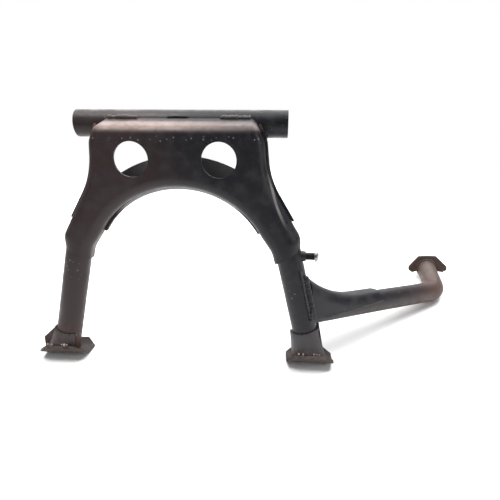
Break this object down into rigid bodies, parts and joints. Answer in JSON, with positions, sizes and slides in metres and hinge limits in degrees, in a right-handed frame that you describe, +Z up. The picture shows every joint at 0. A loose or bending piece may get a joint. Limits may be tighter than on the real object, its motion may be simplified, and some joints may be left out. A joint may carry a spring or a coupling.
{
  "type": "motorcycle centre stand",
  "caption": "Welded two-legged centre stand with a pivot tube, a pressed box plate, rocker feet and a kicked-out foot lever.",
  "frame": {"origin": "centre of the pivot tube's bore", "axes": "+X along the pivot tube towards the lever's side, +Y to the rear, +Z up, as the stand rests on the ground"},
  "size_m": [0.5671, 0.2751, 0.2803],
  "materials": {
    "painted_steel": "worn satin charcoal paint",
    "rusted_steel": "thin rust over scuffed paint",
    "bare_steel": "polished by the spring's hook",
    "weld_bead": "painted weld with bare specks"
  },
  "bodies": {
    "root": {"front_pressing": "painted_steel", "left_foot_plate": "rusted_steel", "left_foot_sleeve": "painted_steel", "left_foot_web": "rusted_steel", "left_leg_tube": "painted_steel", "left_rear_weld": "weld_bead", "left_top_weld": "weld_bead", "lever_pad": "rusted_steel", "lever_saddle": "painted_steel", "lever_tube": "painted_steel", "pivot_tube": "painted_steel", "rear_pressing": "painted_steel", "right_foot_plate": "rusted_steel", "right_foot_sleeve": "painted_steel", "right_foot_strut": "painted_steel", "right_leg_tube": "painted_steel", "right_rear_weld": "weld_bead", "right_top_weld": "weld_bead", "saddle_leg_weld": "weld_bead", "spring_pin": "bare_steel", "spring_pin_boss": "painted_steel"}
  },
  "joints": []
}
